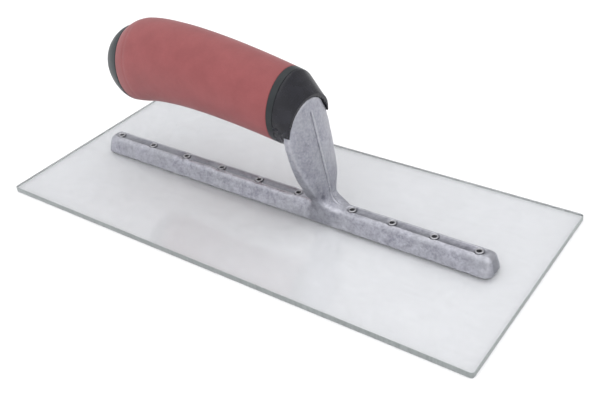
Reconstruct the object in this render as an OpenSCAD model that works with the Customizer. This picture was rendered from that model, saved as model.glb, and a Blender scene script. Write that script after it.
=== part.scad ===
// Finishing trowel: a clear plastic blade riveted under a die-cast mounting bar, whose leaning
// shank carries a two-part moulded handle with a soft grip.
// Frame: X along the blade, Y across it, Z up. The origin is the centre of the blade's underside.
// The shank stands ahead of the middle, and the handle runs back from it towards -X.

/* [Blade] */
// Blade length
blade_length = 279.4; // [270:0.1:300]
// Blade width
blade_width = 120.65; // [100:0.05:140]
// Blade sheet thickness
blade_thickness = 3; // [2.5:0.1:3.5]
// Radius of the blade's four corners
blade_corner = 1.6; // [0.5:0.1:5]

/* [Mounting bar] */
// Bar length
bar_length = 242.4; // [240:0.2:246]
// How far the bar's middle sits ahead of the blade's
bar_shift = 0.8; // [0:0.1:1.5]
// Bar height above the blade
bar_height = 9.4; // [9:0.1:10]
// Bar width where it meets the blade
bar_base = 14.2; // [13:0.1:16]
// Bar width at its shoulders
bar_top = 9.4; // [9:0.1:10.5]
// Radius of the shoulders
bar_shoulder = 2.9; // [2:0.1:3.2]
// Plan radius of the bar's corners at its base
bar_corner = 4.4; // [4:0.1:5.2]
// How far each end leans in up to its shoulder
bar_end_lean = 1.4; // [1:0.1:2]
// Width of the channel along the bar's top
channel_width = 4.6; // [4.2:0.1:5]
// Depth of the channel
channel_depth = 0.5; // [0.3:0.05:0.7]

/* [Rivets] */
// Rivets behind the shank
rear_rivets = 6; // [4:1:6]
// Pitch of the rear rivets
rear_pitch = 25.4; // [24:0.1:25.4]
// Rivets ahead of the shank
front_rivets = 4; // [2:1:4]
// Pitch of the front rivets
front_pitch = 22.3; // [20:0.1:22.3]
// Distance from the blade's middle back to the last rivet
rear_reach = 112.7; // [111:0.1:113]
// Distance from the blade's middle to the foremost rivet
front_reach = 113.2; // [112:0.1:114]
// Rivet shank diameter
rivet_d = 3.2; // [3:0.1:3.4]
// Diameter of the countersunk head
rivet_head_d = 6.2; // [5.6:0.1:6.6]
// Diameter of the rolled end
rivet_roll_d = 4.2; // [4:0.1:4.4]
// Bore of the rolled end
rivet_bore_d = 2.3; // [1.8:0.1:2.4]

/* [Shank] */
// Half width of the head plate at its widest
head_half_width = 16.1; // [15:0.1:17]
// Height at which the head plate is widest
head_widest_z = 50; // [48:0.5:52]
// Height of the top of the head plate
head_top_z = 67.3; // [65:0.1:68]
// Radius of the long curves that narrow the shank down to the bar
waist_radius = 68; // [64:1:80]
// Radius of the crowned front face
crown_radius = 32; // [30:1:36]
// Lean of the front face back from upright
front_lean = 10.2; // [9:0.1:11]
// X of the crowned face's crest at head_widest_z
crest_x = 29.1; // [28:0.1:30]
// Radius of the sweep from the front face into the bar
front_sweep = 9; // [7:0.5:10]
// Radius of the fillet behind the shank
rear_fillet = 5; // [3:0.5:6]
// Width of the casting seam that runs down the crest
seam_width = 0.9; // [0.6:0.1:1.2]
// Height of the casting seam
seam_height = 0.3; // [0.2:0.05:0.4]

/* [Handle] */
// X of the joint between the core's front flange and the grip
grip_front_x = 12.9; // [12:0.1:14]
// X of the joint between the grip and the end cap
grip_rear_x = -84.4; // [-86:0.1:-82]
// X of the end cap's tip
cap_tip_x = -104; // [-108:0.1:-100]
// Height of the handle's centre line at its front
axis_front_z = 62.1; // [61:0.1:63]
// Height of the centre line at the top of its arch
axis_crown_z = 69.3; // [68:0.1:70]
// X of the top of the arch
axis_crown_x = -50; // [-54:0.5:-46]
// Height of the centre line at the end cap
axis_rear_z = 64.3; // [63:0.1:66]
// Half height of the grip at its front
front_half_height = 19; // [18.5:0.1:20]
// Half height of the grip in the palm
palm_half_height = 22.4; // [21:0.1:23]
// Half height of the grip at the end cap
rear_half_height = 20.8; // [20:0.1:22]
// Width to height ratio at the front
front_ratio = 0.894; // [0.88:0.002:0.92]
// Width to height ratio at the rear
rear_ratio = 0.806; // [0.8:0.002:0.9]
// Thickness of the soft grip over the hard core
grip_wall = 3; // [2:0.1:3.5]
// Width of the core's bare flange ahead of the grip
flange_width = 3.3; // [3:0.1:3.6]

/* [Handle bolt] */
// Bolt diameter
bolt_d = 6; // [5:0.5:6]
// Bolt length under its head
bolt_length = 85; // [82:1:88]
// Bolt head diameter
bolt_head_d = 10; // [9:0.5:11]
// Bolt head height
bolt_head_h = 6; // [5:0.5:6]
// Hexagon socket across its flats
bolt_socket = 5; // [4:0.5:5]
// Washer diameter
washer_d = 13; // [12:0.5:14]
// Washer thickness
washer_h = 1.2; // [1:0.1:1.6]

/* [Hidden] */
$fn = 64;
eps = 0.01;
gap = 0.05;                        // clearance between touching pieces
bar_z = blade_thickness;
bar_lean = (bar_base - bar_top) / 2;  // how far the sides lean in up to the shoulders
corner_proud = 0.12;               // the corner cones stand this proud, and the sides trim them
bar_top_z = bar_z + bar_height;
channel_z = bar_top_z - channel_depth;
channel_radius = (pow(channel_width / 2, 2) + pow(channel_depth, 2)) / (2 * channel_depth);
spot_d = rivet_roll_d + 1;         // small recess around each rolled end
spot_depth = 0.3;
spot_z = channel_z - spot_depth;
roll_h = 0.75;
rivet_hole_d = rivet_d + 2 * gap;
rivet_sink = 0.15;                 // the heads sit this far inside the underside
head_depth = (rivet_head_d - rivet_d) / 2;
bore_depth = 5;

rear_xs = [for (i = [0 : rear_rivets - 1]) -rear_reach + i * rear_pitch];
front_xs = [for (i = [0 : front_rivets - 1]) front_reach - i * front_pitch];
rivet_xs = concat(rear_xs, front_xs);

plate_rear_x = 21.5;               // back of the head plate at head_widest_z
plate_rear_slope = -0.13;
plate_foot_z = 24;
plate_foot_x = 24.8;
shank_rear_x = 24.4;
seam_top_z = 62;
sweep_start_x = crest_x + (head_widest_z - bar_top_z - front_sweep) * tan(front_lean) - 1.8;
waist_x = head_half_width - waist_radius;
foot_x = 31;                       // the foot is widest here, and thins to both ends in plan
foot_radius = 29;
foot_top_z = 14;
side_draft = 0.045;                // the shank's foot leans in this much a mm above the blade
hood_z = 54;                       // the collar's hood covers the plate's edge above this height
rim_foot_x = 25;                   // the hood's rim at that height, and its lean above it
rim_slope = 0.05;

flange_x = grip_front_x + flange_width;
front_tilt = -5.2;                 // tilt of the section planes at the front of the handle
rear_tilt = 2.4;
palm_x = -74;                      // where the grip is deepest, just ahead of its rounded end
section_steps = 24;
ring_points = 40;
cap_steps = 8;
cap_power = 1.56;                  // shape of the end cap's dome
cap_tip_z = 62.2;

bolt_z = 61.6;                     // height of the bolt's axis where it crosses grip_front_x
bolt_tilt = 2.6;
bolt_tip_x = 19.5;
boss_d = 10.8;
boss_rear_x = 8;
lug_d = 6;
lug_z = 49.5;
lug_rear_x = 14;
counterbore_d = washer_d + 2;

// X of the plate's back face at height z
function plate_rear(z) = plate_rear_x + (z - head_widest_z) * plate_rear_slope;

// Half width of the shank and head plate at height z, grown by g
function shank_half(z, g) = z > head_widest_z
    ? (head_half_width + g)
        * sqrt(max(0, 1 - pow((z - head_widest_z) / (head_top_z + g - head_widest_z), 2)))
    : max(waist_x + sqrt(pow(waist_radius, 2) - pow(head_widest_z - z, 2)),
        bar_base / 2 - (z - bar_z) * side_draft) + g;

// X of the hood's rim at height z
function rim_x(z) = rim_foot_x + (z - hood_z) * rim_slope;

// Half of the front outline, bottom to top
function outline_side(low, g, steps) = [for (i = [0 : steps])
    let (u = i / steps, top = head_top_z + g,
         z = i < steps / 2 ? low + (head_widest_z - low) * 2 * u
                           : head_widest_z + (top - head_widest_z) * sin(90 * (2 * u - 1)))
    [shank_half(z, g), z]];

// Handle: position along it from 0 at the cap joint to 1 at the flange's front
function along(x) = (x - grip_rear_x) / (flange_x - grip_rear_x);

// Height of the centre line at x: an arch that drops ahead of its crown and behind it
function axis_z(x) = x > axis_crown_x
    ? axis_crown_z - (axis_crown_z - axis_front_z)
        * pow((x - axis_crown_x) / (grip_front_x - axis_crown_x), 1.6)
    : axis_crown_z - (axis_crown_z - axis_rear_z)
        * pow((axis_crown_x - x) / (axis_crown_x - grip_rear_x), 3.1);

// Half height of the section at x: a taper that levels off in the palm
function half_height(x) = x > palm_x
    ? front_half_height + (palm_half_height - front_half_height)
        * (grip_front_x - x) / (grip_front_x - palm_x)
    : palm_half_height - (palm_half_height - rear_half_height)
        * pow((palm_x - x) / (palm_x - grip_rear_x), 2);

function ratio(x) = rear_ratio + (front_ratio - rear_ratio) * along(x);
function tilt(x) = rear_tilt + (front_tilt - rear_tilt) * along(x);

// One oval section: centre [x, z], half width a, half height b, leaning by t
function oval(x, z, a, b, t) = [for (i = [0 : ring_points - 1])
    let (w = 360 * i / ring_points)
    [x - sin(t) * b * cos(w), a * sin(w), z + cos(t) * b * cos(w)]];

// The handle's section at x, drawn in by inset
function section(x, inset) = oval(x, axis_z(x), ratio(x) * half_height(x) - inset,
    half_height(x) - inset, tilt(x));

function sections(x0, x1, steps, inset) =
    [for (i = [0 : steps]) section(x0 + (x1 - x0) * i / steps, inset)];

// Closed solid through a list of rings, rear to front, that all have ring_points points
module loft(rings) {
    n = ring_points;
    last = len(rings) - 1;
    polyhedron(
        points = [for (r = rings) each r],
        faces = concat(
            [[for (i = [n - 1 : -1 : 0]) i]],
            [for (k = [0 : last - 1], i = [0 : n - 1])
                let (j = (i + 1) % n) [k * n + i, (k + 1) * n + j, (k + 1) * n + i]],
            [for (k = [0 : last - 1], i = [0 : n - 1])
                let (j = (i + 1) % n) [k * n + i, k * n + j, (k + 1) * n + j]],
            [[for (i = [0 : n - 1]) last * n + i]]));
}

// Puts its children on the bolt's axis: their +Z runs forward along it from x
module on_bolt_axis(x) {
    translate([x, 0, bolt_z - (x - grip_front_x) * tan(bolt_tilt)])
        rotate([0, 90 + bolt_tilt, 0]) children();
}

// ---- blade ----

module rounded_plate(l, w, r) {
    union() {
        square([l - 2 * r, w], center = true);
        square([l, w - 2 * r], center = true);
        for (sx = [-1, 1], sy = [-1, 1])
            translate([sx * (l / 2 - r), sy * (w / 2 - r)]) circle(r);
    }
}

module blade() {
    color([0.88, 0.93, 0.92, 0.5])
    difference() {
        linear_extrude(blade_thickness) rounded_plate(blade_length, blade_width, blade_corner);
        for (x = rivet_xs) translate([x, 0, -eps]) {
            cylinder(d = rivet_hole_d, h = blade_thickness + 2 * eps);
            cylinder(d1 = rivet_head_d + 2 * (gap + rivet_sink + eps), d2 = rivet_hole_d,
                h = head_depth + rivet_sink + eps);
        }
    }
}

// ---- rivets ----

// Semi-tubular rivet: countersunk head below, rolled hollow end above
module rivet() {
    r = rivet_d / 2;
    top = spot_z + gap + roll_h;
    rotate_extrude() polygon([
        [0, rivet_sink], [rivet_head_d / 2 - 0.2, rivet_sink], [rivet_head_d / 2, rivet_sink + 0.2],
        [r, rivet_sink + head_depth + 0.2], [r, spot_z + gap],
        [rivet_roll_d / 2 - 0.25, spot_z + gap], [rivet_roll_d / 2, spot_z + gap + 0.25],
        [rivet_roll_d / 2 - 0.15, top - 0.15], [rivet_roll_d / 2 - 0.45, top],
        [rivet_bore_d / 2 + 0.15, top - 0.05], [rivet_bore_d / 2, top - 0.3],
        [rivet_bore_d / 2, top - bore_depth], [0, top - bore_depth - 0.6]]);
}

module blade_rivets() {
    color([0.72, 0.73, 0.75])
    for (x = rivet_xs) translate([x, 0, 0]) rivet();
}

// ---- die-cast mounting: bar, shank and head in one piece ----

// Profile of the bar, reach from its middle line to its base on both sides. Its sides lean in
// up to round shoulders
module bar_profile(reach, lean) {
    shoulder = reach - lean - bar_shoulder;
    union() {
        polygon([[-reach, 0], [reach, 0], [reach - lean, bar_height - bar_shoulder],
            [shoulder, bar_height], [-shoulder, bar_height],
            [lean - reach, bar_height - bar_shoulder]]);
        for (s = [-1, 1]) translate([s * shoulder, bar_height - bar_shoulder])
            circle(bar_shoulder);
    }
}

// Section and side profile, with cones that round the corners in plan
module bar() {
    cone_top = bar_corner - bar_end_lean * bar_height / (bar_height - bar_shoulder);
    inner_x = bar_length / 2 - bar_corner;
    inner_y = bar_base / 2 - bar_corner;
    translate([bar_shift, 0, bar_z]) intersection() {
        translate([-bar_length / 2, 0, 0]) rotate([90, 0, 90])
            linear_extrude(bar_length) bar_profile(bar_base / 2, bar_lean);
        translate([0, bar_base, 0]) rotate([90, 0, 0])
            linear_extrude(2 * bar_base) bar_profile(bar_length / 2, bar_end_lean);
        union() {
            translate([-inner_x, -bar_base, 0]) cube([2 * inner_x, 2 * bar_base, bar_height + 1]);
            translate([-bar_length, -inner_y, 0])
                cube([2 * bar_length, 2 * inner_y, bar_height + 1]);
            for (sx = [-1, 1], sy = [-1, 1]) translate([sx * inner_x, sy * inner_y, 0])
                cylinder(r1 = bar_corner + corner_proud, r2 = cone_top + corner_proud,
                    h = bar_height);
        }
    }
}

// Round-ended hollow channel between two points along the bar's top
module channel(x0, x1) {
    axis_z = channel_z + channel_radius;
    for (x = [x0, x1]) translate([x, 0, axis_z]) sphere(channel_radius);
    translate([x0, 0, axis_z]) rotate([0, 90, 0]) cylinder(r = channel_radius, h = x1 - x0);
}

// Front outline of the shank and head plate from height low upward, as a block along X
module front_outline(low, x0, x1, g) {
    side = outline_side(low, g, 28);
    n = len(side);
    translate([x0, 0, 0]) rotate([90, 0, 90]) linear_extrude(x1 - x0)
        polygon(concat([for (p = side) p], [for (i = [n - 2 : -1 : 0]) [-side[i].x, side[i].y]]));
}

// Leaning cylinder whose front is the crowned face, set back by b
module crown(b) {
    translate([crest_x, 0, head_widest_z]) rotate([0, -front_lean, 0])
        translate([-crown_radius - b, 0, 0])
            cylinder(r = crown_radius, h = 4 * head_half_width, center = true, $fn = 128);
}

// Side profile behind which the shank's back face lies
module shank_side() {
    top = head_top_z + 2;
    polygon([[shank_rear_x - rear_fillet, bar_z], [shank_rear_x - rear_fillet, bar_top_z],
        [shank_rear_x, bar_top_z + rear_fillet], [plate_foot_x, plate_foot_z],
        [plate_rear(top), top], [crest_x + 20, top], [crest_x + 20, bar_z]]);
}

// Block from -t to t across the blade, with an outline drawn as seen from the side
module side_slab(t) {
    translate([0, t, 0]) rotate([90, 0, 0]) linear_extrude(2 * t) children();
}

// Side view of the sweep from the front face into the bar, thickened by b
module sweep_side(b) {
    difference() {
        translate([shank_rear_x + 2, bar_z])
            square([sweep_start_x + front_sweep - shank_rear_x - 2,
                bar_height + front_sweep]);
        translate([sweep_start_x + front_sweep, bar_top_z + front_sweep])
            circle(front_sweep - b);
    }
}

// Foot of the shank: lens-shaped in plan, as wide as the bar's base
module foot_limit() {
    c = foot_radius - bar_base / 2;
    translate([foot_x, 0, bar_z]) linear_extrude(foot_top_z - bar_z) intersection() {
        translate([0, -c]) circle(foot_radius);
        translate([0, c]) circle(foot_radius);
    }
    translate([-crest_x, -2 * crest_x, foot_top_z - eps]) cube(4 * crest_x);
}

module shank_body() {
    // head plate and waist under the crowned face
    intersection() {
        front_outline(bar_z, 0, 2 * crest_x, 0);
        crown(0);
        side_slab(2 * bar_base) difference() {
            shank_side();
            translate([shank_rear_x - rear_fillet, bar_top_z + rear_fillet])
                circle(rear_fillet);
        }
    }
    // sweep of the front face into the bar
    intersection() {
        front_outline(bar_z, 0, 3 * crest_x, 0);
        side_slab(bar_base) sweep_side(0);
    }
}

module shank() {
    intersection() {
        shank_body();
        foot_limit();
    }
    // casting seam down the crest and out along the sweep
    intersection() {
        crown(-seam_height);
        side_slab(seam_width / 2) polygon([[plate_foot_x, plate_foot_z - 4],
            [crest_x + 20, plate_foot_z - 4], [crest_x + 20, seam_top_z],
            [plate_rear(seam_top_z) + 1, seam_top_z]]);
    }
    side_slab(seam_width / 2) sweep_side(seam_height);
}

module mounting() {
    plate_x = plate_rear(bolt_z) + 2;
    color([0.6, 0.61, 0.64])
    difference() {
        union() {
            bar();
            shank();
            on_bolt_axis(boss_rear_x) cylinder(d = boss_d, h = plate_x - boss_rear_x);
            translate([lug_rear_x, 0, lug_z]) rotate([0, 90, 0])
                cylinder(d = lug_d, h = plate_rear(lug_z) + 1 - lug_rear_x);
        }
        channel(bar_shift - bar_length / 2 + 7, rear_xs[rear_rivets - 1]);
        channel(front_xs[front_rivets - 1], bar_shift + bar_length / 2 - 7);
        for (x = rivet_xs) {
            translate([x, 0, bar_z - 1]) cylinder(d = rivet_hole_d, h = bar_height + 2);
            translate([x, 0, spot_z]) cylinder(d = spot_d, h = bar_height);
        }
        on_bolt_axis(boss_rear_x - 1)
            cylinder(d = bolt_d + 2 * gap, h = bolt_tip_x + 1 - boss_rear_x);
    }
}

// ---- handle ----

// Hard core: a sleeve under the grip with a bare flange ahead of it
module handle_core() {
    seat_x = bolt_tip_x - bolt_length - washer_h;
    color([0.2, 0.21, 0.22])
    difference() {
        loft(concat(sections(grip_rear_x, grip_front_x, section_steps, grip_wall),
            sections(grip_front_x, flange_x, 1, 0)));
        on_bolt_axis(grip_rear_x - 5)
            cylinder(d = bolt_d + 0.6, h = flange_x - grip_rear_x + 12);
        on_bolt_axis(grip_rear_x - 5)
            cylinder(d = counterbore_d, h = seat_x - gap - grip_rear_x + 5);
        on_bolt_axis(boss_rear_x - 0.5) cylinder(d = boss_d + 2 * gap, h = flange_x);
        translate([lug_rear_x - 0.5, 0, lug_z]) rotate([0, 90, 0])
            cylinder(d = lug_d + 2 * gap, h = flange_x);
    }
}

// Soft grip moulded over the core
module soft_grip() {
    color([0.66, 0.2, 0.21])
    difference() {
        loft(sections(grip_rear_x, grip_front_x - gap, section_steps, 0));
        loft(sections(grip_rear_x - 1, grip_front_x + 1, section_steps, grip_wall - gap));
    }
}

// Domed plug that closes the core's counterbore
module end_cap() {
    b = half_height(grip_rear_x);
    a = ratio(grip_rear_x) * b;
    x0 = grip_rear_x - gap;
    dome = [for (i = [0 : cap_steps])
        let (s = 0.995 * sin(90 * i / cap_steps), f = pow(1 - pow(s, cap_power), 1 / cap_power))
        oval(cap_tip_x * s + x0 * (1 - s), cap_tip_z * s + axis_rear_z * (1 - s),
            a * f, b * f, rear_tilt)];
    color([0.22, 0.24, 0.25]) {
        loft([for (i = [cap_steps : -1 : 0]) dome[i]]);
        on_bolt_axis(x0 - 2) cylinder(d = counterbore_d - 2 * gap, h = 7);
    }
}

// Everything ahead of the plate's back face, up to height z
module ahead_of_plate(z) {
    side_slab(2 * head_half_width)
        polygon([[plate_rear(20) - gap, 20], [plate_rear(z) - gap, z], [60, z], [60, 20]]);
}

// Moulded collar: fills the space between the core and the head plate, and its hood
// wraps the plate's upper edge
module front_collar() {
    x0 = flange_x + gap;
    z0 = axis_z(flange_x);
    b = half_height(flange_x);
    a = ratio(flange_x) * b;
    top = z0 + b;
    low = z0 - b;
    // each ring: [x at the centre, top, bottom, half width]
    rings = [[x0, top, low, a], [x0 + 0.9, top - 0.3, low + 0.1, a - 0.05],
        [x0 + 2.3, top - 2.2, low + 0.4, a - 0.1], [x0 + 4.7, top - 6.2, low + 0.8, a - 0.1],
        [x0 + 7.3, top - 10.3, low + 1.4, a - 0.3], [x0 + 10.6, top - 14.8, low + 2.4, a - 0.6]];
    color([0.12, 0.12, 0.14])
    difference() {
        intersection() {
            loft([for (r = rings) oval(r[0], (r[1] + r[2]) / 2, r[3], (r[1] - r[2]) / 2,
                front_tilt)]);
            // flat rim of the hood
            side_slab(2 * head_half_width) polygon([[0, 20], [rim_x(20), 20], [rim_x(90), 90],
                [0, 90]]);
        }
        // pocket for the head plate
        intersection() {
            front_outline(plate_foot_z, 0, 2 * crest_x, gap);
            ahead_of_plate(90);
        }
        // below the hood nothing stands ahead of the plate's back face
        ahead_of_plate(hood_z);
        on_bolt_axis(0) cylinder(d = boss_d + 2 * gap, h = 40);
        translate([0, 0, lug_z]) rotate([0, 90, 0]) cylinder(d = lug_d + 2 * gap, h = 40);
    }
}

module handle_bolt() {
    color([0.75, 0.76, 0.78])
    on_bolt_axis(bolt_tip_x - bolt_length * cos(bolt_tilt)) difference() {
        union() {
            cylinder(d = bolt_d, h = bolt_length);
            translate([0, 0, -bolt_head_h]) cylinder(d = bolt_head_d, h = bolt_head_h);
        }
        translate([0, 0, -bolt_head_h - 1])
            cylinder(d = bolt_socket / cos(30), h = bolt_head_h * 0.6 + 1, $fn = 6);
    }
}

module bolt_washer() {
    color([0.78, 0.79, 0.8])
    on_bolt_axis(bolt_tip_x - bolt_length * cos(bolt_tilt)) translate([0, 0, gap]) difference() {
        cylinder(d = washer_d, h = washer_h - gap);
        translate([0, 0, -1]) cylinder(d = bolt_d + 0.4, h = washer_h + 2);
    }
}

blade();
mounting();
blade_rivets();
handle_core();
soft_grip();
front_collar();
end_cap();
handle_bolt();
bolt_washer();
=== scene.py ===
"""Looks of a finishing trowel: a clear plastic blade under a cast aluminium mounting, and a soft
red grip on a dark moulded core with a black collar and end cap. Lengths are in millimetres until
a mesh is made, and then in metres. X runs along the blade, Y across it, Z up."""

import math
import random

import bmesh
import bpy
import numpy as np
from mathutils import Matrix, Vector, noise


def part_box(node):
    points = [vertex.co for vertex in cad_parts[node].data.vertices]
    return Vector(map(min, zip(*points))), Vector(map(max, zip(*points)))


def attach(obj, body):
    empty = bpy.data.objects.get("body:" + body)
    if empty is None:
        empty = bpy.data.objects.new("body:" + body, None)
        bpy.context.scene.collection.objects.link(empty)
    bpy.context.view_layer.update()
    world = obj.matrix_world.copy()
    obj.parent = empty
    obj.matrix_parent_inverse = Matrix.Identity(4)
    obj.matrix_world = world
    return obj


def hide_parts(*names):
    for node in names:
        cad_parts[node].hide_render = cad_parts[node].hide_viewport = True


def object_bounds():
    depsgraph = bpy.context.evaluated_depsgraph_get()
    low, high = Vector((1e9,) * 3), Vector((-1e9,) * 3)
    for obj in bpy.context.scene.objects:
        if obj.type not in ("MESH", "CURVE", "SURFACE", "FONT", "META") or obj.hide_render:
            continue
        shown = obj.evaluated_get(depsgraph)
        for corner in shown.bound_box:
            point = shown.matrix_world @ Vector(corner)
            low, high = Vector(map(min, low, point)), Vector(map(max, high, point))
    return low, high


MM = 0.001
BODY = "root"
random.seed(7)

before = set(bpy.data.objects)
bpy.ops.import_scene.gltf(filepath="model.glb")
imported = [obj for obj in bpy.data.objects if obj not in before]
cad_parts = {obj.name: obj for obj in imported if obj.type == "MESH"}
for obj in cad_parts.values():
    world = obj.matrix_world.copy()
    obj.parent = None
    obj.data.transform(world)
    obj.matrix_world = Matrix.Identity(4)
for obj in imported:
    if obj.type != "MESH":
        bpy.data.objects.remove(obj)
cad_low, cad_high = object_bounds()

# ---- shapes shared with the CAD model, in millimetres ----

GRIP_FRONT_X = 12.9
GRIP_REAR_X = -84.4
FLANGE_X = 16.2
CAP_TIP_X, CAP_TIP_Z = -104.0, 62.2
CAP_POWER = 1.56
AXIS_FRONT_Z, AXIS_CROWN_Z, AXIS_REAR_Z = 62.1, 69.3, 64.3
AXIS_CROWN_X = -50.0
FRONT_HALF, PALM_HALF, REAR_HALF = 19.0, 22.4, 20.8
PALM_X = -74.0
FRONT_RATIO, REAR_RATIO = 0.894, 0.806
FRONT_TILT, REAR_TILT = -5.2, 2.4
GRIP_WALL = 3.0
GAP = 0.05

BOLT_Z, BOLT_TILT = 61.6, 2.6
BOLT_TIP_X, BOLT_LENGTH = 19.5, 85.0
BOLT_D, WASHER_H = 6.0, 1.2
BOSS_D, BOSS_REAR_X = 10.8, 8.0
LUG_D, LUG_Z, LUG_REAR_X = 6.0, 49.5, 14.0
COUNTERBORE_D = 15.0

HEAD_HALF_WIDTH, HEAD_WIDEST_Z, HEAD_TOP_Z = 16.1, 50.0, 67.3
WAIST_RADIUS = 68.0
HOOD_Z = 54.0
RIM_X, RIM_SLOPE = 25.0, 0.05
PLATE_REAR_X, PLATE_REAR_SLOPE = 21.5, -0.13
BAR_TOP_Z = 12.4

# six rivets behind the shank, rearmost first, then four ahead of it, foremost first
REARMOST_RIVET_X, REAR_PITCH = -112.7, 25.4
FOREMOST_RIVET_X, FRONT_PITCH = 113.2, 22.3
RIVET_XS = [REARMOST_RIVET_X + i * REAR_PITCH for i in range(6)]
RIVET_XS += [FOREMOST_RIVET_X - i * FRONT_PITCH for i in range(4)]
RIVET_D, RIVET_HEAD_D, RIVET_ROLL_D, RIVET_BORE_D = 3.2, 6.2, 4.2, 2.3
RIVET_SINK, RIVET_BORE_DEPTH = 0.15, 5.0
SPOT_Z = 11.6
ROLL_H = 0.75


def along(x):
    """Position along the handle, from 0 at the cap joint to 1 at the flange's front."""
    return (x - GRIP_REAR_X) / (FLANGE_X - GRIP_REAR_X)


def axis_z(x):
    """Height of the handle's centre line."""
    if x > AXIS_CROWN_X:
        drop = (x - AXIS_CROWN_X) / (GRIP_FRONT_X - AXIS_CROWN_X)
        return AXIS_CROWN_Z - (AXIS_CROWN_Z - AXIS_FRONT_Z) * drop**1.6
    drop = (AXIS_CROWN_X - x) / (AXIS_CROWN_X - GRIP_REAR_X)
    return AXIS_CROWN_Z - (AXIS_CROWN_Z - AXIS_REAR_Z) * drop**3.1


def half_height(x):
    """Half height of the handle's section."""
    if x > PALM_X:
        grow = (GRIP_FRONT_X - x) / (GRIP_FRONT_X - PALM_X)
        return FRONT_HALF + (PALM_HALF - FRONT_HALF) * grow
    return PALM_HALF - (PALM_HALF - REAR_HALF) * ((PALM_X - x) / (PALM_X - GRIP_REAR_X)) ** 2


def ratio(x):
    """Width to height ratio of the handle's section."""
    return REAR_RATIO + (FRONT_RATIO - REAR_RATIO) * along(x)


def tilt(x):
    """Lean of the handle's section plane, in degrees."""
    return REAR_TILT + (FRONT_TILT - REAR_TILT) * along(x)


def oval(x, z, half_width, half_tall, lean, points):
    """One oval ring: its points, an array of points x 3."""
    turn = np.linspace(0, 2 * math.pi, points, endpoint=False)
    lean = math.radians(lean)
    up = half_tall * np.cos(turn)
    return np.stack(
        [x - math.sin(lean) * up, half_width * np.sin(turn), z + math.cos(lean) * up], axis=1
    )


def section(x, inset, points):
    """The handle's own section at x, drawn in by inset."""
    tall = half_height(x)
    return oval(x, axis_z(x), ratio(x) * tall - inset, tall - inset, tilt(x), points)


def plate_rear(z):
    """X of the head plate's rear face at height z."""
    return PLATE_REAR_X + (z - HEAD_WIDEST_Z) * PLATE_REAR_SLOPE


def rim_x(z):
    """X of the hood's rim at height z."""
    return RIM_X + (z - HOOD_Z) * RIM_SLOPE


def head_half(z, grow):
    """Half width of the head plate at height z, grown all round."""
    if z > HEAD_WIDEST_Z:
        rise = (z - HEAD_WIDEST_Z) / (HEAD_TOP_Z + grow - HEAD_WIDEST_Z)
        return (HEAD_HALF_WIDTH + grow) * math.sqrt(max(0, 1 - rise**2))
    fall = HEAD_WIDEST_Z - z
    return HEAD_HALF_WIDTH - WAIST_RADIUS + math.sqrt(WAIST_RADIUS**2 - fall**2) + grow


# ---- mesh tools ----


def mesh_object(name, vertices, faces):
    """A new object from points in millimetres."""
    mesh = bpy.data.meshes.new(name)
    mesh.from_pydata((np.asarray(vertices) * MM).tolist(), [], faces)
    mesh.validate()
    tidy = bmesh.new()
    tidy.from_mesh(mesh)
    bmesh.ops.recalc_face_normals(tidy, faces=tidy.faces)
    tidy.to_mesh(mesh)
    tidy.free()
    piece = bpy.data.objects.new(name, mesh)
    bpy.context.scene.collection.objects.link(piece)
    return piece


def loft(name, rings, hollow=False):
    """Solid through rings of equal size. A hollow one joins its last ring to its first."""
    count, size = len(rings), len(rings[0])
    spans = count if hollow else count - 1
    faces = [
        (
            k * size + i,
            k * size + (i + 1) % size,
            (k + 1) % count * size + (i + 1) % size,
            (k + 1) % count * size + i,
        )
        for k in range(spans)
        for i in range(size)
    ]
    if not hollow:
        faces += [tuple(range(size)), tuple((count - 1) * size + i for i in range(size))]
    return mesh_object(name, np.concatenate(rings), faces)


def prism(name, outline, offset):
    """Closed block between an outline of 3-D points and its copy moved by offset."""
    size = len(outline)
    top = [tuple(np.add(p, offset)) for p in outline]
    sides = [(i, (i + 1) % size, size + (i + 1) % size, size + i) for i in range(size)]
    ends = [tuple(range(size)), tuple(range(size, 2 * size))]
    return mesh_object(name, list(outline) + top, sides + ends)


def side_block(name, outline, half_width):
    """Block with an outline in X and Z, from -half_width to half_width in Y."""
    points = [(x, -half_width, z) for x, z in outline]
    return prism(name, points, (0, 2 * half_width, 0))


def rod(name, diameter, start_x, end_x, z=None, points=64):
    """Cylinder along X at height z, or along the bolt's axis if z is None."""
    lean = BOLT_TILT if z is None else 0.0
    rings = []
    for x in (start_x, end_x):
        at = BOLT_Z - (x - GRIP_FRONT_X) * math.tan(math.radians(lean)) if z is None else z
        rings.append(oval(x, at, diameter / 2, diameter / 2, -lean, points))
    return loft(name, rings)


def apply_modifiers(piece):
    """Replaces the piece's mesh with what its modifiers make of it."""
    graph = bpy.context.evaluated_depsgraph_get()
    made = bpy.data.meshes.new_from_object(piece.evaluated_get(graph), depsgraph=graph)
    piece.modifiers.clear()
    piece.data = made


def combine(piece, other, operation):
    """Boolean of two closed pieces. The second one is used up."""
    modifier = piece.modifiers.new("combine", "BOOLEAN")
    modifier.operation = operation
    modifier.object = other
    modifier.solver = "EXACT"
    apply_modifiers(piece)
    bpy.data.objects.remove(other)


def remesh(piece, voxel):
    """Even quads over the piece, voxel millimetres apart."""
    modifier = piece.modifiers.new("voxels", "REMESH")
    modifier.mode = "VOXEL"
    modifier.voxel_size = voxel * MM
    apply_modifiers(piece)


def coordinates(mesh):
    """The mesh's points in millimetres."""
    flat = np.empty(len(mesh.vertices) * 3)
    mesh.vertices.foreach_get("co", flat)
    return flat.reshape(-1, 3) / MM


def set_coordinates(mesh, points):
    mesh.vertices.foreach_set("co", (points * MM).ravel())
    mesh.update()


def normals(mesh):
    flat = np.empty(len(mesh.vertices) * 3)
    mesh.vertex_normals.foreach_get("vector", flat)
    return flat.reshape(-1, 3)


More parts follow.
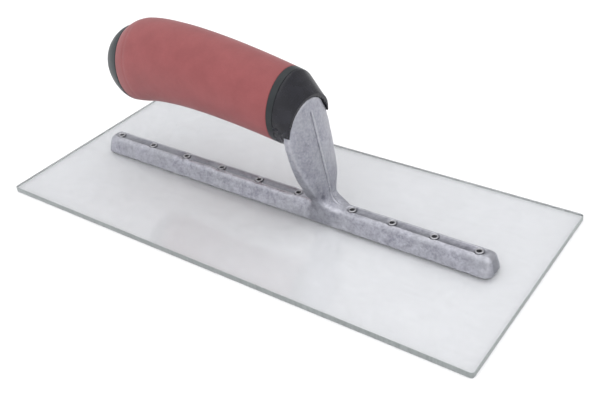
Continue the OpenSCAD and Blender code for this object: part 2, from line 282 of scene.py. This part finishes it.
def relax(piece, rounds, weight=None, convex=1.0):
    """Evens out the surface. weight, 0 to 1, says where; convex says how far edges may shrink."""
    mesh = piece.data
    points = coordinates(mesh)
    flat = np.empty(len(mesh.edges) * 2, dtype=np.int64)
    mesh.edges.foreach_get("vertices", flat)
    a, b = flat.reshape(-1, 2).T
    degree = np.bincount(a, minlength=len(points)) + np.bincount(b, minlength=len(points))
    step = np.ones(len(points)) if weight is None else weight
    for turn in range(rounds):
        if turn % 10 == 0:
            facing = normals(mesh)
        total = np.stack(
            [
                np.bincount(a, points[b, k], len(points))
                + np.bincount(b, points[a, k], len(points))
                for k in range(3)
            ],
            axis=1,
        )
        move = total / degree[:, None] - points
        outward = (move * facing).sum(1)
        share = np.where(outward > 0, 1.0, convex)
        points += move * (0.5 * step * share)[:, None]
        if turn % 10 == 9:
            set_coordinates(mesh, points)
    set_coordinates(mesh, points)


def smooth(piece, angle=35):
    """Smooth shading, with edges sharper than angle kept."""
    for polygon in piece.data.polygons:
        polygon.use_smooth = True
    piece.data.set_sharp_from_angle(angle=math.radians(angle))


def finish_piece(piece, material, slot, *nodes):
    """Gives a piece its material and its place in the frame."""
    piece.data.materials.clear()
    piece.data.materials.append(material)
    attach(piece, BODY)
    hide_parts(*nodes)


# ---- material tools ----


class Shader:
    """A Principled material with a few short ways to add procedural detail to it."""

    def __init__(self, name):
        self.material = bpy.data.materials.new(name)
        self.material.use_nodes = True
        self.tree = self.material.node_tree
        self.principled = self.tree.nodes["Principled BSDF"]
        position = self.node("ShaderNodeTexCoord").outputs["Object"]
        scale = self.node("ShaderNodeVectorMath", operation="SCALE")
        self.link(position, scale.inputs[0])
        scale.inputs["Scale"].default_value = 1 / MM
        self.position = scale.outputs[0]

    def node(self, kind, **settings):
        made = self.tree.nodes.new(kind)
        for key, value in settings.items():
            setattr(made, key, value)
        return made

    def link(self, source, target):
        self.tree.links.new(source, target)

    def set(self, **values):
        """Constants on the shader's own sockets, such as ior=1.5."""
        names = {s.name.lower().replace(" ", "_"): s for s in self.principled.inputs}
        for key, value in values.items():
            names[key].default_value = value

    def stretched(self, x=1.0, y=1.0, z=1.0):
        """The position, stretched by those factors."""
        made = self.node("ShaderNodeVectorMath", operation="DIVIDE")
        self.link(self.position, made.inputs[0])
        made.inputs[1].default_value = (x, y, z)
        return made.outputs[0]

    def noise(self, size, detail=2.0, rough=0.5, position=None, distortion=0.0):
        """Noise with features about size millimetres across, 0 to 1."""
        made = self.node("ShaderNodeTexNoise")
        self.link(position or self.position, made.inputs["Vector"])
        made.inputs["Scale"].default_value = 1 / size
        made.inputs["Detail"].default_value = detail
        made.inputs["Roughness"].default_value = rough
        made.inputs["Distortion"].default_value = distortion
        return made.outputs["Fac"]

    def spread(self, value, low, high, to_low=0.0, to_high=1.0):
        """Maps low..high to to_low..to_high, and holds it there."""
        made = self.node("ShaderNodeMapRange")
        self.link(value, made.inputs["Value"])
        for key, number in zip(
            ("From Min", "From Max", "To Min", "To Max"), (low, high, to_low, to_high)
        ):
            made.inputs[key].default_value = number
        return made.outputs["Result"]

    def math(self, operation, *values):
        made = self.node("ShaderNodeMath", operation=operation)
        for socket, value in zip(made.inputs, values):
            if isinstance(value, (int, float)):
                socket.default_value = value
            else:
                self.link(value, socket)
        return made.outputs[0]

    def blend(self, factor, first, second):
        """Mixes two colours, each a tuple or a socket."""
        made = self.node("ShaderNodeMix", data_type="RGBA")
        self.link(factor, made.inputs["Factor"])
        for index, value in ((6, first), (7, second)):
            if isinstance(value, tuple):
                made.inputs[index].default_value = (*value, 1.0)
            else:
                self.link(value, made.inputs[index])
        return made.outputs[2]

    def bump(self, height, depth, normal=None):
        """Bump of about depth millimetres where height goes from 0 to 1."""
        made = self.node("ShaderNodeBump")
        made.inputs["Distance"].default_value = depth * MM
        self.link(height, made.inputs["Height"])
        if normal is not None:
            self.link(normal, made.inputs["Normal"])
        return made.outputs["Normal"]

    def drive(self, **sockets):
        names = {s.name.lower().replace(" ", "_"): s for s in self.principled.inputs}
        for key, value in sockets.items():
            self.link(value, names[key])


def cast_aluminium():
    """Die-cast and tumbled: mottled grey, lighter on edges from wear and a painted highlight, with
    painted shade in corners.
    """
    s = Shader("cast_aluminium")
    grain = s.noise(1.1, detail=3.0, rough=0.6)
    blotch = s.noise(3.4, detail=3.0, rough=0.55)
    cloud = s.noise(14.0, detail=2.0)
    edge = s.node("ShaderNodeNewGeometry").outputs["Pointiness"]
    # pointiness: edges lighter, partly wear and partly a painted highlight
    edge_wear_and_highlight = s.spread(edge, 0.5, 0.56)
    # pointiness: darker in crevices, painted shade
    crevice_shade = s.spread(edge, 0.5, 0.45)
    tone = s.math("ADD", s.math("MULTIPLY", grain, 0.45), s.math("MULTIPLY", blotch, 0.55))
    colour = s.blend(s.spread(tone, 0.36, 0.64), (0.23, 0.232, 0.272), (0.48, 0.482, 0.54))
    # painted shade: darker and duller up the shank than along the bar
    apart = s.node("ShaderNodeSeparateXYZ")
    s.link(s.position, apart.inputs[0])
    shank_shade = s.spread(apart.outputs["Z"], 13.0, 24.0, 0.0, 0.32)
    colour = s.blend(shank_shade, colour, (0.21, 0.215, 0.25))
    # painted shade in the channel, darker along its floor
    off_middle = s.math("ABSOLUTE", apart.outputs["Y"])
    in_channel = s.math(
        "MULTIPLY",
        s.spread(off_middle, 2.0, 2.4, 1.0, 0.0),
        s.spread(apart.outputs["Z"], 12.05, 12.3, 0.45, 0.0),
    )
    colour = s.blend(in_channel, colour, (0.12, 0.12, 0.14))
    colour = s.blend(s.spread(cloud, 0.35, 0.65, 0.0, 0.35), colour, (0.37, 0.38, 0.40))
    # edges lighter: wear plus a painted highlight
    colour = s.blend(s.math("MULTIPLY", edge_wear_and_highlight, 0.6), colour, (0.68, 0.68, 0.71))
    # painted shade in crevices
    colour = s.blend(s.math("MULTIPLY", crevice_shade, 0.4), colour, (0.13, 0.13, 0.15))
    rough = s.spread(blotch, 0.3, 0.7, 0.30, 0.48)
    normal = s.bump(blotch, 0.32)
    normal = s.bump(grain, 0.17, normal)
    s.set(metallic=0.85, specular_ior_level=0.5)
    s.drive(base_color=colour, roughness=rough, normal=normal)
    return s.material


def rivet_metal():
    """Bright aluminium rivets, dark down their bores."""
    s = Shader("rivet_metal")
    grain = s.noise(0.35, detail=2.0)
    colour = s.blend(s.spread(grain, 0.3, 0.7), (0.30, 0.30, 0.32), (0.46, 0.46, 0.48))
    s.set(metallic=0.9)
    s.drive(
        base_color=colour,
        roughness=s.spread(grain, 0.3, 0.7, 0.28, 0.45),
        normal=s.bump(grain, 0.03),
    )
    return s.material


def plated_steel():
    """Zinc-plated steel, with fine turning marks."""
    s = Shader("plated_steel")
    fine = s.noise(0.25, detail=2.0, position=s.stretched(x=12.0))
    colour = s.blend(s.spread(fine, 0.3, 0.7), (0.5, 0.5, 0.47), (0.66, 0.66, 0.62))
    s.set(metallic=1.0)
    s.drive(
        base_color=colour,
        roughness=s.spread(fine, 0.3, 0.7, 0.25, 0.4),
        normal=s.bump(fine, 0.01),
    )
    return s.material


def soft_red():
    """Matte soft-touch rubber, a little worn and dusty."""
    s = Shader("soft_red")
    pore = s.noise(0.45, detail=2.0, rough=0.6)
    wave = s.noise(9.0, detail=3.0)
    dust = s.noise(2.4, detail=4.0, rough=0.65)
    colour = s.blend(s.spread(wave, 0.35, 0.65), (0.233, 0.05, 0.053), (0.262, 0.059, 0.062))
    colour = s.blend(s.spread(dust, 0.5, 0.8, 0.0, 0.14), colour, (0.36, 0.13, 0.13))
    colour = s.blend(s.spread(pore, 0.3, 0.5, 0.25, 0.0), colour, (0.17, 0.035, 0.037))
    s.set(specular_ior_level=0.45, sheen_weight=0.12, sheen_roughness=0.5)
    s.drive(
        base_color=colour,
        roughness=s.spread(dust, 0.3, 0.7, 0.5, 0.64),
        normal=s.bump(pore, 0.035, s.bump(wave, 0.05)),
    )
    return s.material


def moulded_plastic(name, dark, light, rough):
    """Black moulded plastic with a faint texture and uneven polish."""
    s = Shader(name)
    pore = s.noise(0.5, detail=2.0)
    smear = s.noise(6.0, detail=3.0, distortion=0.4)
    colour = s.blend(s.spread(smear, 0.35, 0.65), dark, light)
    s.set(specular_ior_level=0.36)
    s.drive(
        base_color=colour,
        roughness=s.spread(smear, 0.3, 0.7, rough - 0.05, rough + 0.08),
        normal=s.bump(pore, 0.02),
    )
    return s.material


def clear_sheet():
    """Clear plastic sheet with faint smears. Lamps shine straight through it."""
    s = Shader("clear_sheet")
    smear = s.noise(26.0, detail=5.0, rough=0.6, distortion=0.6)
    scuff = s.noise(2.2, detail=2.0, position=s.stretched(x=6.0, y=1.4))
    haze = s.math(
        "ADD", s.spread(smear, 0.46, 0.72, 0.0, 0.05), s.spread(scuff, 0.55, 0.8, 0.0, 0.025)
    )
    s.set(transmission_weight=1.0, ior=1.49, base_color=(0.89, 0.897, 0.909, 1.0))
    s.drive(
        roughness=s.spread(smear, 0.4, 0.7, 0.08, 0.15),
        normal=s.bump(s.noise(40.0, detail=1.0), 0.05),
    )
    film = s.node("ShaderNodeBsdfDiffuse")
    film.inputs["Color"].default_value = (0.8, 0.81, 0.83, 1.0)
    smeared = s.node("ShaderNodeMixShader")
    s.link(haze, smeared.inputs["Fac"])
    s.link(s.principled.outputs["BSDF"], smeared.inputs[1])
    s.link(film.outputs["BSDF"], smeared.inputs[2])
    open_ = s.node("ShaderNodeBsdfTransparent")
    open_.inputs["Color"].default_value = (0.93, 0.935, 0.945, 1.0)
    lamp = s.node("ShaderNodeLightPath").outputs["Is Shadow Ray"]
    surface = s.node("ShaderNodeMixShader")
    s.link(lamp, surface.inputs["Fac"])
    s.link(smeared.outputs["Shader"], surface.inputs[1])
    s.link(open_.outputs["BSDF"], surface.inputs[2])
    s.link(surface.outputs["Shader"], s.tree.nodes["Material Output"].inputs["Surface"])
    return s.material


def sawn_edge():
    """The sheet's sawn edge: frosted, grey-green, with fine saw marks."""
    s = Shader("sawn_edge")
    marks = s.noise(0.6, detail=3.0, position=s.stretched(z=8.0))
    patch = s.noise(14.0, detail=2.0)
    colour = s.blend(s.spread(marks, 0.3, 0.7), (0.30, 0.33, 0.328), (0.43, 0.465, 0.46))
    colour = s.blend(s.spread(patch, 0.3, 0.7, 0.0, 0.3), colour, (0.34, 0.35, 0.355))
    s.set(transmission_weight=0.45, ior=1.49)
    s.drive(
        base_color=colour,
        roughness=s.spread(marks, 0.3, 0.7, 0.3, 0.5),
        normal=s.bump(marks, 0.04),
    )
    return s.material


# ---- blade ----


def make_blade():
    """The CAD sheet with its outer arrises broken and its sawn edges given their own look."""
    low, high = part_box("blade")
    arris, outer_band = 0.22 * MM, 1.6 * MM
    close = 1e-6
    mesh = bmesh.new()
    mesh.from_mesh(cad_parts["blade"].data)
    bmesh.ops.remove_doubles(mesh, verts=mesh.verts, dist=close)
    bmesh.ops.dissolve_limit(
        mesh, angle_limit=math.radians(0.5), verts=mesh.verts, edges=mesh.edges
    )

    def is_level(edge):
        za, zb = (v.co.z for v in edge.verts)
        return abs(za - zb) < close and min(abs(za - low.z), abs(za - high.z)) < close

    def from_edge(point):
        return min(high.x - abs(point.x), high.y - abs(point.y))

    def is_outer(edge):
        return from_edge((edge.verts[0].co + edge.verts[1].co) / 2) < outer_band

    arrises = [
        e
        for e in mesh.edges
        if is_level(e) and is_outer(e) and len(e.link_faces) == 2
        and e.calc_face_angle(0) > math.radians(60)
    ]
    bmesh.ops.bevel(
        mesh, geom=arrises, offset=arris, segments=2, profile=0.5, affect="EDGES"
    )
    # a fresh mesh, without the stored normals of the CAD sheet
    sheet = bpy.data.meshes.new("blade_sheet")
    mesh.verts.index_update()
    sheet.from_pydata(
        [v.co[:] for v in mesh.verts], [], [[v.index for v in f.verts] for f in mesh.faces]
    )
    mesh.free()
    sheet.materials.append(clear_sheet())
    sheet.materials.append(sawn_edge())
    for face in sheet.polygons:
        sawn = from_edge(face.center) < outer_band + 0.1 * MM and abs(face.normal.z) < 0.99
        face.material_index = 1 if sawn else 0
        face.use_smooth = sawn
    piece = bpy.data.objects.new("blade_sheet", sheet)
    bpy.context.scene.collection.objects.link(piece)
    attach(piece, BODY)
    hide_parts("blade")


# ---- mounting ----

CASTING_VOXEL = 0.42
FOOT_X, SWEEP_TOP_Z = 30, 28  # middle of the shank's foot, and where its sweep ends


def ramp(values, start, end):
    """0 before start, 1 after end, and a smooth rise between them."""
    t = np.clip((values - start) / (end - start), 0, 1)
    return t * t * (3 - 2 * t)


def near(values, middle, reach):
    """1 round the middle, falling to 0 beyond reach on each side of it."""
    return np.exp(-(((values - middle) / reach) ** 4))


def soften_foot(piece):
    """Wide fillets and soft edges where the shank grows out of the bar."""
    x, y, z = coordinates(piece.data).T
    foot = near(x, FOOT_X, 13) * ramp(z, 4.0, 7.0) * (1 - ramp(z, 20, SWEEP_TOP_Z))
    relax(piece, 14, foot, convex=0.5)
    relax(piece, 230, foot, convex=0.04)
    # the front face runs into the sweep without a crease
    x, y, z = coordinates(piece.data).T
    joint = near(x, FOOT_X + 4, 5.5) * ramp(z, 13.2, 14.8) * (1 - ramp(z, 23, SWEEP_TOP_Z))
    relax(piece, 130, joint * (1 - ramp(np.abs(y), 8.5, 10)), convex=0.8)
    # the flare on each side of the bar fades out behind the shank
    x, y, z = coordinates(piece.data).T
    flare = near(x, FOOT_X - 8, 9) * ramp(z, 3.4, 4.4) * (1 - ramp(z, 10, 14))
    relax(piece, 380, flare * ramp(np.abs(y), 2.6, 3.8))


def soften_front_edges(piece):
    """Slightly rounded front edges on the shank and the head plate."""
    x, y, z = coordinates(piece.data).T
    half = np.array([head_half(max(h, BAR_TOP_Z), 0) for h in np.minimum(z, HEAD_TOP_Z)])
    front_edge = (
        ramp(np.abs(y), half - 3.4, half - 1.6)
        * ramp(x - plate_rear(z), 0.9, 2.0)
        * ramp(z, 16, 22)
        * (1 - ramp(z, 50, 56))
    )
    relax(piece, 9, front_edge)


def wear_bar(piece, low, high):
    """Worn shoulders along the bar, and rounded ends."""
    x, y, z = coordinates(piece.data).T
    on_bar = 1 - ramp(z, BAR_TOP_Z + 0.3, BAR_TOP_Z + 1.5)
    ends = np.maximum(ramp(x, high.x - 7, high.x - 4), ramp(-x, -low.x - 7, -low.x - 4))
    shoulder = ramp(np.abs(y), 2.4, 3.2)
    worn = on_bar * ramp(z, 6.0, 8.0) * np.maximum(shoulder * 0.6, ends * 0.5)
    relax(piece, 34, worn)
    relax(piece, 24, ends * on_bar * ramp(z, 3.3, 4.5), convex=0.8)


def sharpen_channel(points):
    """Makes the channel's walls crisp again, which the even mesh had softened."""
    x, y, z = points.T
    in_channel = (1 - ramp(np.abs(y), 1.9, 2.4)) * ramp(z, 11.5, 11.7) * (1 - ramp(z, 12.5, 12.8))
    beside_shank = (x >= RIVET_XS[5]) & (x <= RIVET_XS[9])
    in_channel *= ~beside_shank & (x > REARMOST_RIVET_X) & (x < FOREMOST_RIVET_X)
    points[:, 2] -= 0.2 * in_channel


def make_mounting(material):
    """The casting, with the fillets, soft edges and seam that a die-cast part has."""
    piece = bpy.data.objects.new("mounting_casting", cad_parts["mounting"].data.copy())
    bpy.context.scene.collection.objects.link(piece)
    low, high = (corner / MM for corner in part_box("mounting"))
    remesh(piece, CASTING_VOXEL)
    relax(piece, 3)
    soften_foot(piece)
    soften_front_edges(piece)
    wear_bar(piece, low, high)
    add_seam(piece)
    points = coordinates(piece.data)
    uneven = np.array(
        [
            0.11 * noise.noise(Vector(p) / 4.5) + 0.06 * noise.noise(Vector(p) / 1.7)
            for p in points.tolist()
        ]
    )
    points += normals(piece.data) * uneven[:, None]
    sharpen_channel(points)
    set_coordinates(piece.data, points)
    smooth(piece, 180)
    finish_piece(piece, material, "cast_metal", "mounting")


def add_seam(piece):
    """Parting line down the middle of the shank's front: a raised flash with a nick beside it."""
    mesh = bmesh.new()
    mesh.from_mesh(piece.data)
    strip = 2.2 * MM
    edges = set()
    for face in mesh.faces:
        centre = face.calc_center_median()
        ahead = centre.x > (PLATE_REAR_X + 3) * MM and centre.z > (BAR_TOP_Z + 0.2) * MM
        if abs(centre.y) < strip and ahead and face.normal.x > 0.25:
            edges.update(face.edges)
    bmesh.ops.subdivide_edges(mesh, edges=list(edges), cuts=2, use_grid_fill=True)
    mesh.to_mesh(piece.data)
    mesh.free()
    points = coordinates(piece.data)
    facing = normals(piece.data)
    x, y, z = points.T
    strength = (
        ramp(z, 12.6, 14.5) * (1 - ramp(z, 60, 63)) * ramp(x, 25, 27) * ramp(facing[:, 0], 0.2, 0.5)
    )
    wander = np.array([0.18 * noise.noise(Vector((0.0, 0.0, h / 6))) for h in z])
    across = y - wander
    flash = 0.24 * np.exp(-((across / 0.34) ** 2))
    nick = 0.42 * np.exp(-(((across + 0.8) / 0.36) ** 2))
    set_coordinates(piece.data, points + facing * ((flash - nick) * strength)[:, None])


def make_rivets(material):
    """Ten rivets: countersunk head below, and above a rolled end that is never quite even."""
    top = SPOT_Z + GAP + ROLL_H
    r, bore, roll = RIVET_D / 2, RIVET_BORE_D / 2, RIVET_ROLL_D / 2
    head_depth = (RIVET_HEAD_D - RIVET_D) / 2
    crest = (roll + bore) / 2
    edge, arc_height = 0.2, 0.5
    profile = [
        (RIVET_HEAD_D / 2 - edge, RIVET_SINK),
        (RIVET_HEAD_D / 2, RIVET_SINK + edge),
        (r, RIVET_SINK + head_depth + edge),
        (r, SPOT_Z + GAP),
        (roll - edge, SPOT_Z + GAP),
    ]
    arc_steps = 10
    for i in range(arc_steps + 1):
        turn = math.pi * i / arc_steps
        profile.append(
            (
                crest + (roll - bore) / 2 * math.cos(turn),
                top - arc_height + arc_height * math.sin(turn) ** 0.8,
            )
        )
    # the bore, slightly tapered, with a drill point at its bottom
    profile += [
        (bore, top - 1.2),
        (bore * 0.96, top - RIVET_BORE_DEPTH),
        (0.4, top - RIVET_BORE_DEPTH - 0.4),
    ]
    around = 48
    vertices, faces = [], []
    for x in RIVET_XS:
        base = len(vertices)
        lobes = random.uniform(0, 2 * math.pi)
        for radius, z in profile:
            for k in range(around):
                turn = 2 * math.pi * k / around
                upper = max(0.0, (z - SPOT_Z) / ROLL_H)
                wobble = 1 + 0.035 * upper * math.sin(3 * turn + lobes)
                vertices.append(
                    (x + radius * wobble * math.cos(turn), radius * wobble * math.sin(turn), z)
                )
        rows = len(profile)
        for j in range(rows - 1):
            for k in range(around):
                n = (k + 1) % around
                faces.append(
                    tuple(base + i for i in (
                        j * around + k, j * around + n, (j + 1) * around + n, (j + 1) * around + k
                    ))
                )
        faces.append(tuple(base + k for k in range(around)))
        faces.append(tuple(base + (rows - 1) * around + k for k in range(around)))
    piece = mesh_object("blade_rivet_set", vertices, faces)
    smooth(piece, 40)
    finish_piece(piece, material, "rivet_metal", "blade_rivets")


# ---- handle ----

RING = 128  # points round each section
EDGE_STEPS = 6  # steps round each rounded edge
COLLAR_VOXEL = 0.25


def rounded_stations(start, end, steps, radius):
    """Pairs of x and inset from start to end, with both ends rounded by radius."""
    turns = [math.pi / 2 * i / EDGE_STEPS for i in range(EDGE_STEPS + 1)]
    front = [
        (start + radius * (1 - math.cos(turn)), radius * (1 - math.sin(turn))) for turn in turns
    ]
    length = end - start - 2 * radius
    middle = [(start + radius + length * i / steps, 0.0) for i in range(1, steps)]
    rear = [(end - x + start, inset) for x, inset in reversed(front)]
    return front + middle + rear


def make_grip(material):
    """Soft sleeve with rounded ends and a shallow ring ahead of the cap."""
    ring_x, ring_width, ring_depth = -77.0, 0.55, 0.16
    outer = [
        section(x, inset + ring_depth * math.exp(-(((x - ring_x) / ring_width) ** 2)), RING)
        for x, inset in rounded_stations(GRIP_REAR_X, GRIP_FRONT_X - GAP, 150, 0.55)
    ]
    inner = [
        section(x, GRIP_WALL - GAP, RING) for x in np.linspace(GRIP_FRONT_X - GAP, GRIP_REAR_X, 60)
    ]
    piece = loft("soft_grip_sleeve", outer + inner, hollow=True)
    smooth(piece, 50)
    finish_piece(piece, material, "grip_red", "soft_grip")


def make_core(material):
    """Hard core with its bare front flange, bored for the bolt, the boss and the lug."""
    flange = rounded_stations(GRIP_FRONT_X, FLANGE_X, 8, 0.1)
    rings = [section(x, GRIP_WALL, RING) for x in np.linspace(GRIP_REAR_X, GRIP_FRONT_X, 60)]
    rings += [section(x, inset, RING) for x, inset in flange]
    piece = loft("handle_core_moulding", rings)
    seat_x = BOLT_TIP_X - BOLT_LENGTH - WASHER_H
    for bore in (
        rod("bore", BOLT_D + 0.6, GRIP_REAR_X - 5, FLANGE_X + 5),
        rod("counterbore", COUNTERBORE_D, GRIP_REAR_X - 5, seat_x - GAP),
        rod("boss_hole", BOSS_D + 2 * GAP, BOSS_REAR_X - 0.5, FLANGE_X + 5),
        rod("lug_hole", LUG_D + 2 * GAP, LUG_REAR_X - 0.5, FLANGE_X + 5, LUG_Z),
    ):
        combine(piece, bore, "DIFFERENCE")
    smooth(piece, 40)
    finish_piece(piece, material, "hard_plastic", "handle_core")


def make_cap(material):
    """Domed end plug with a small radius at its joint."""
    tall = half_height(GRIP_REAR_X)
    wide = ratio(GRIP_REAR_X) * tall
    front_x = GRIP_REAR_X - GAP
    steps, radius = 48, 0.5
    rings = []
    for i in range(steps, -1, -1):
        s = 0.9995 * math.sin(math.pi / 2 * i / steps)
        f = (1 - s**CAP_POWER) ** (1 / CAP_POWER)
        if s * (front_x - CAP_TIP_X) < radius:
            continue
        rings.append(
            oval(
                CAP_TIP_X * s + front_x * (1 - s),
                CAP_TIP_Z * s + AXIS_REAR_Z * (1 - s),
                wide * f,
                tall * f,
                REAR_TILT,
                RING,
            )
        )
    for i in range(EDGE_STEPS + 1):
        turn = math.pi / 2 * i / EDGE_STEPS
        inset = radius * (1 - math.cos(turn))
        x = front_x - radius * (1 - math.sin(turn))
        s = (front_x - x) / (front_x - CAP_TIP_X)
        f = (1 - s**CAP_POWER) ** (1 / CAP_POWER)
        rings.append(
            oval(x, AXIS_REAR_Z, wide * f - inset, tall * f - inset, REAR_TILT, RING)
        )
    piece = loft("end_cap_dome", rings)
    combine(piece, rod("plug", COUNTERBORE_D - 2 * GAP, front_x - 2, front_x + 5), "UNION")
    smooth(piece, 40)
    finish_piece(piece, material, "cap_black", "end_cap")


def make_collar(material):
    """Black hood that closes the gap between the handle and the head plate."""
    start_x = FLANGE_X + GAP
    tall = half_height(FLANGE_X)
    wide = ratio(FLANGE_X) * tall
    top, low = axis_z(FLANGE_X) + tall, axis_z(FLANGE_X) - tall
    # each station: distance ahead of the flange, drop of the top, rise of the bottom, narrowing
    stations = np.array(
        [
            [0.0, 0.0, 0.0, 0.0],
            [0.9, 0.3, 0.1, 0.05],
            [2.3, 2.2, 0.4, 0.1],
            [4.7, 6.2, 0.8, 0.1],
            [7.3, 10.3, 1.4, 0.3],
            [10.6, 14.8, 2.4, 0.6],
        ]
    )
    slopes = np.gradient(stations[:, 1:], stations[:, 0], axis=0)
    rings = []
    for ahead in np.linspace(0, stations[-1, 0], 56):
        k = min(int(np.searchsorted(stations[:, 0], ahead, side="right")) - 1, len(stations) - 2)
        span = stations[k + 1, 0] - stations[k, 0]
        t = (ahead - stations[k, 0]) / span
        values = (
            (2 * t**3 - 3 * t**2 + 1) * stations[k, 1:]
            + (t**3 - 2 * t**2 + t) * span * slopes[k]
            + (3 * t**2 - 2 * t**3) * stations[k + 1, 1:]
            + (t**3 - t**2) * span * slopes[k + 1]
        )
        high, deep = top - values[0], low + values[1]
        middle, tall_here = (high + deep) / 2, (high - deep) / 2
        rings.append(
            oval(start_x + ahead, middle, wide - values[2], tall_here, FRONT_TILT, RING)
        )
    piece = loft("front_collar_hood", rings)
    # the cutting blocks reach past the hood on every side
    far, under, over = 60.0, 20, 90
    beyond_rim = side_block(
        "beyond_rim",
        [(rim_x(under), under), (far, under), (far, over), (rim_x(over), over)],
        far,
    )
    combine(piece, beyond_rim, "DIFFERENCE")
    base_z, steps = 24, 60
    crown = HEAD_TOP_Z + GAP - base_z
    heights = [base_z + crown * math.sin(math.pi / 2 * i / steps) for i in range(steps + 1)]
    half = [(head_half(z, GAP), z) for z in heights]
    outline = half + [(-w, z) for w, z in reversed(half[:-1])]
    pocket = prism(
        "pocket", [(plate_rear(z) - GAP, w, z) for w, z in outline], (far, 0, 0)
    )
    combine(piece, pocket, "DIFFERENCE")
    rear_under, rear_hood = plate_rear(under) - GAP, plate_rear(HOOD_Z) - GAP
    below_hood = side_block(
        "below_hood",
        [(rear_under, under), (far, under), (far, HOOD_Z), (rear_hood, HOOD_Z)],
        far,
    )
    combine(piece, below_hood, "DIFFERENCE")
    combine(piece, rod("boss_hole", BOSS_D + 2 * GAP, 5, 40), "DIFFERENCE")
    combine(piece, rod("lug_hole", LUG_D + 2 * GAP, 5, 40, LUG_Z), "DIFFERENCE")
    remesh(piece, COLLAR_VOXEL)
    relax(piece, 2)
    smooth(piece, 180)
    finish_piece(piece, material, "collar_black", "front_collar")


# ---- stage ----


def make_camera():
    """Looks down on the near side, from ahead of the shank."""
    heading, down, roll = (math.radians(a) for a in (38.76, 34.31, -6.05))
    data = bpy.data.cameras.new("camera")
    data.sensor_width = 36.0
    data.lens = 50.2
    data.clip_start = 0.01
    camera = bpy.data.objects.new("camera", data)
    bpy.context.scene.collection.objects.link(camera)
    camera.matrix_world = (
        Matrix.Translation((0.23469, -0.27411, 0.24731))
        @ Matrix.Rotation(heading, 4, "Z")
        @ Matrix.Rotation(math.pi / 2 - down, 4, "X")
        @ Matrix.Rotation(roll, 4, "Z")
    )
    bpy.context.scene.camera = camera


def make_floor():
    """White paper just under the working face."""
    reach = 6.0
    mesh = bpy.data.meshes.new("floor")
    corners = [(-reach, -reach), (reach, -reach), (reach, reach), (-reach, reach)]
    mesh.from_pydata([(x, y, cad_low.z - 0.0002) for x, y in corners], [], [(0, 1, 2, 3)])
    floor = bpy.data.objects.new("floor", mesh)
    bpy.context.scene.collection.objects.link(floor)
    s = Shader("floor_paper")
    s.set(base_color=(0.93, 0.93, 0.935, 1.0), roughness=0.9, specular_ior_level=0.1)
    mesh.materials.append(s.material)


def area_light(name, position, size, watts, aim=(0.0, 0.0, 0.03)):
    data = bpy.data.lights.new(name, "AREA")
    data.shape = "DISK"
    data.size = size
    data.energy = watts
    light = bpy.data.objects.new(name, data)
    bpy.context.scene.collection.objects.link(light)
    light.location = position
    light.rotation_euler = (Vector(aim) - Vector(position)).to_track_quat("-Z", "Y").to_euler()


def make_lights():
    """A bright ceiling over a dimmer horizon. The camera sees an even pale grey instead."""
    world = bpy.data.worlds.new("studio")
    bpy.context.scene.world = world
    world.use_nodes = True
    tree = world.node_tree
    direction = tree.nodes.new("ShaderNodeTexCoord").outputs["Generated"]
    parts = tree.nodes.new("ShaderNodeSeparateXYZ")
    tree.links.new(direction, parts.inputs[0])
    height = tree.nodes.new("ShaderNodeValToRGB")
    tree.links.new(parts.outputs["Z"], height.inputs["Fac"])
    stops = height.color_ramp.elements
    height.color_ramp.interpolation = "EASE"
    stops[0].position, stops[0].color = 0.45, (0.68, 0.68, 0.69, 1.0)
    stops[1].position, stops[1].color = 0.84, (1.0, 1.0, 1.0, 1.0)
    # dimmer on the far side, behind the handle, than on the near side
    towards = tree.nodes.new("ShaderNodeVectorMath")
    towards.operation = "DOT_PRODUCT"
    tree.links.new(direction, towards.inputs[0])
    towards.inputs[1].default_value = (0.4, -0.92, 0.0)
    side = tree.nodes.new("ShaderNodeMapRange")
    tree.links.new(towards.outputs["Value"], side.inputs["Value"])
    for key, number in (("From Min", -0.9), ("From Max", 0.9), ("To Min", 1.0), ("To Max", 1.95)):
        side.inputs[key].default_value = number
    lit = tree.nodes["Background"]
    tree.links.new(side.outputs["Result"], lit.inputs["Strength"])
    tree.links.new(height.outputs["Color"], lit.inputs["Color"])
    seen = tree.nodes.new("ShaderNodeBackground")
    seen.inputs["Color"].default_value = (0.93, 0.93, 0.94, 1.0)
    choose = tree.nodes.new("ShaderNodeMixShader")
    ray = tree.nodes.new("ShaderNodeLightPath").outputs["Is Camera Ray"]
    tree.links.new(ray, choose.inputs["Fac"])
    tree.links.new(lit.outputs[0], choose.inputs[1])
    tree.links.new(seen.outputs[0], choose.inputs[2])
    tree.links.new(choose.outputs[0], tree.nodes["World Output"].inputs["Surface"])
    area_light("ceiling", (0.15, 0.25, 1.1), 0.9, 0.9)
    view = bpy.context.scene.view_settings
    view.view_transform = "Standard"
    view.look = "None"


make_camera()
make_floor()
make_lights()
make_blade()
make_mounting(cast_aluminium())
make_rivets(rivet_metal())
make_grip(soft_red())
make_core(moulded_plastic("core_plastic", (0.009, 0.012, 0.014), (0.014, 0.018, 0.021), 0.36))
make_cap(moulded_plastic("cap_plastic", (0.018, 0.024, 0.027), (0.025, 0.032, 0.035), 0.42))
make_collar(moulded_plastic("collar_plastic", (0.005, 0.005, 0.009), (0.01, 0.01, 0.016), 0.26))
steel = plated_steel()
for node in ("handle_bolt", "bolt_washer"):
    for material_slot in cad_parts[node].material_slots:
        material_slot.material = steel
